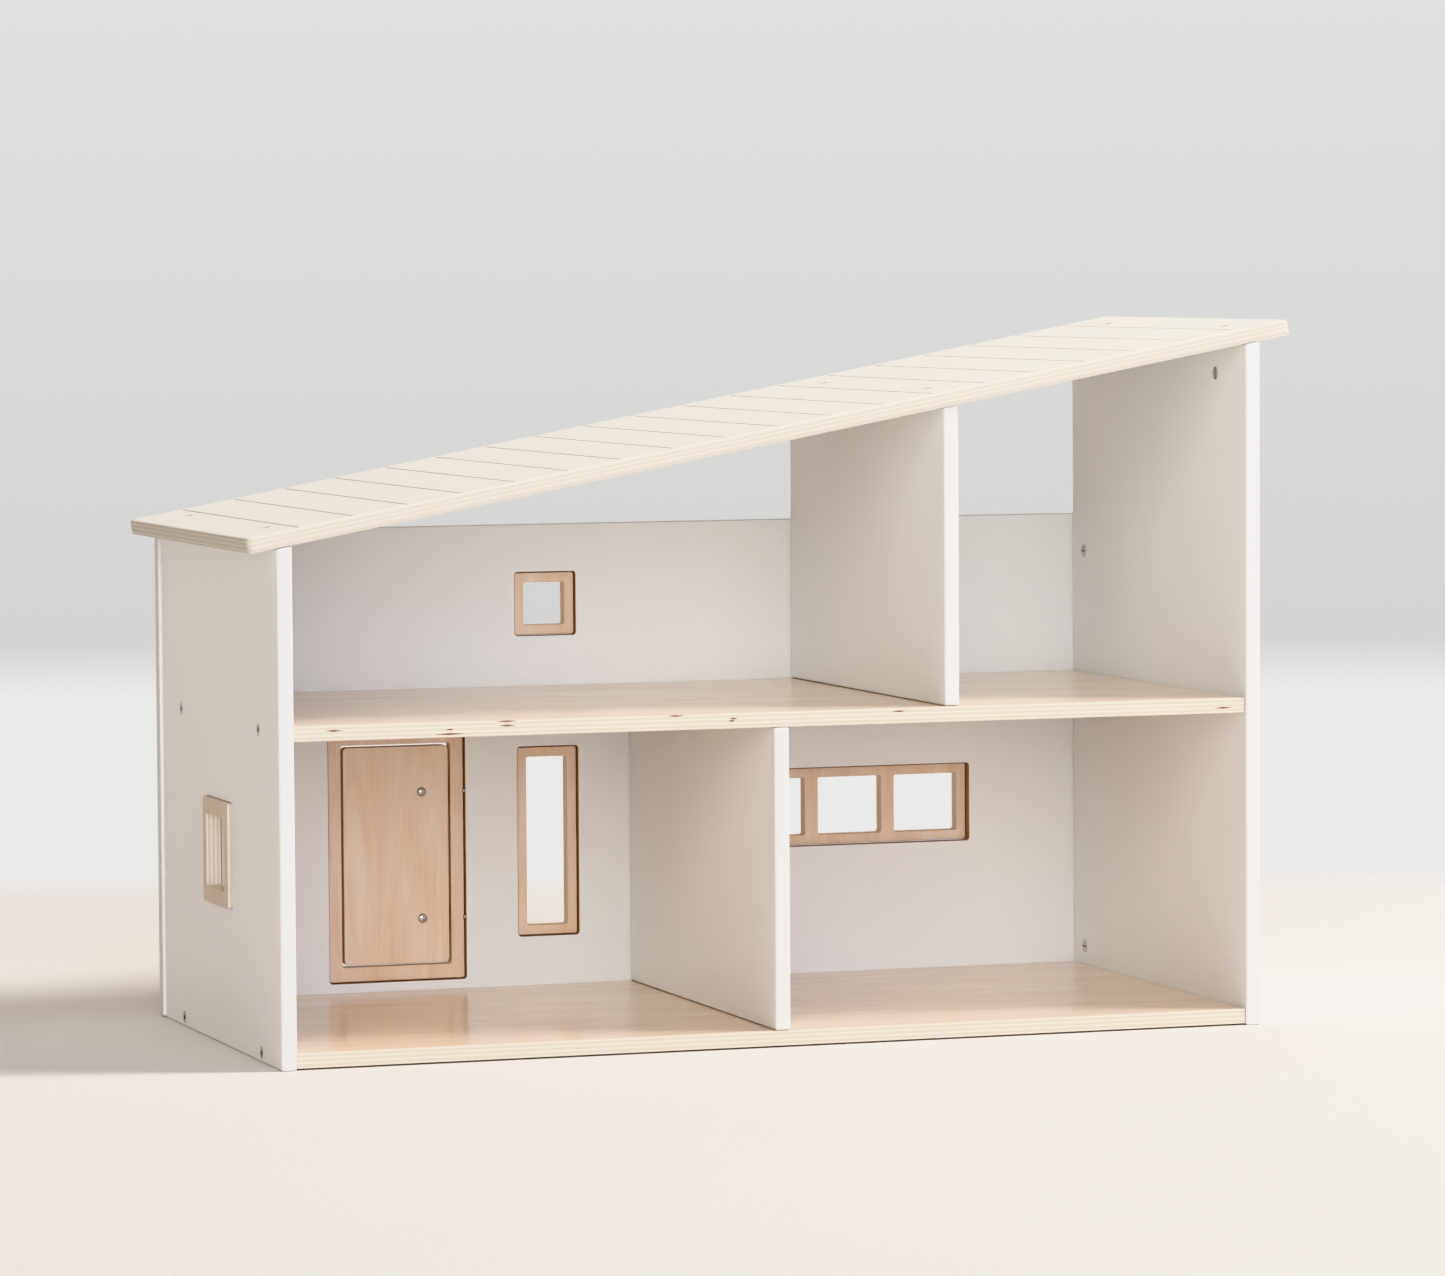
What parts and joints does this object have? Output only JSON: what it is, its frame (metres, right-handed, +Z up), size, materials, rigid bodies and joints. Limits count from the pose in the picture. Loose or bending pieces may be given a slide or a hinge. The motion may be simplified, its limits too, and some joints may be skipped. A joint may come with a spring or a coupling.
{
  "type": "dollhouse",
  "caption": "Open-fronted wooden dollhouse with two floors, room dividers, a grooved single-pitch roof, framed windows and a hinged back door.",
  "frame": {"origin": "centre of the footprint, on the surface that the dollhouse stands on", "axes": "+X along the front from the low side wall to the high one, +Y from the open front to the back panel, +Z up"},
  "size_m": [0.8498, 0.3912, 0.5582],
  "materials": {
    "white_paint": "satin white paint on plywood",
    "clear_birch": "clear satin lacquer on birch plywood",
    "pale_birch": "matt clear lacquer on pale birch plywood",
    "warm_ply": "matt lacquer on warm tan plywood",
    "steel": "zinc-plated",
    "beech": "plain"
  },
  "bodies": {
    "root": {"left_wall": "white_paint", "right_wall": "white_paint", "back_panel": "white_paint", "lower_divider": "white_paint", "upper_divider": "white_paint", "floor_panel": "clear_birch", "upper_floor_panel": "clear_birch", "roof_panel": "pale_birch", "square_window_frame": "warm_ply", "tall_window_frame": "warm_ply", "wide_window_frame": "warm_ply", "side_window_frame": "warm_ply", "door_frame": "warm_ply", "left_lower_floor_screw_1": "steel", "left_lower_floor_screw_2": "steel", "left_upper_floor_screw_1": "steel", "left_upper_floor_screw_2": "steel", "right_lower_floor_screw_1": "steel", "right_lower_floor_screw_2": "steel", "right_upper_floor_screw_1": "steel", "right_upper_floor_screw_2": "steel", "left_wall_roof_bolt_1": "steel", "left_wall_roof_nut_1": "steel", "left_wall_roof_bolt_2": "steel", "left_wall_roof_nut_2": "steel", "upper_divider_roof_bolt_1": "steel", "upper_divider_roof_nut_1": "steel", "upper_divider_roof_bolt_2": "steel", "upper_divider_roof_nut_2": "steel", "right_wall_roof_bolt_1": "steel", "right_wall_roof_nut_1": "steel", "right_wall_roof_bolt_2": "steel", "right_wall_roof_nut_2": "steel", "left_back_bolt_1": "steel", "left_back_nut_1": "steel", "left_back_bolt_2": "steel", "left_back_nut_2": "steel", "right_back_bolt_1": "steel", "right_back_nut_1": "steel", "right_back_bolt_2": "steel", "right_back_nut_2": "steel", "lower_divider_foot_bolt_1": "steel", "lower_divider_foot_nut_1": "steel", "lower_divider_foot_bolt_2": "steel", "lower_divider_foot_nut_2": "steel", "upper_divider_foot_bolt_1": "steel", "upper_divider_foot_nut_1": "steel", "upper_divider_foot_bolt_2": "steel", "upper_divider_foot_nut_2": "steel", "lower_hinge_screw": "steel", "upper_hinge_screw": "steel", "lower_hinge_frame_leaf": "steel", "upper_hinge_frame_leaf": "steel", "lower_divider_dowel_1": "beech", "lower_divider_dowel_2": "beech"},
    "door": {"door_panel": "warm_ply", "lower_hinge_door_leaf": "steel", "upper_hinge_door_leaf": "steel", "lower_door_bolt": "steel", "upper_door_bolt": "steel"}
  },
  "joints": [
    {"name": "door_hinge", "type": "hinge", "parent": "root", "child": "door", "pos_m": [-0.16122, 0.19305, 0.1241], "axis": [0, 0, -1], "range_deg": [-5, 175]}
  ]
}
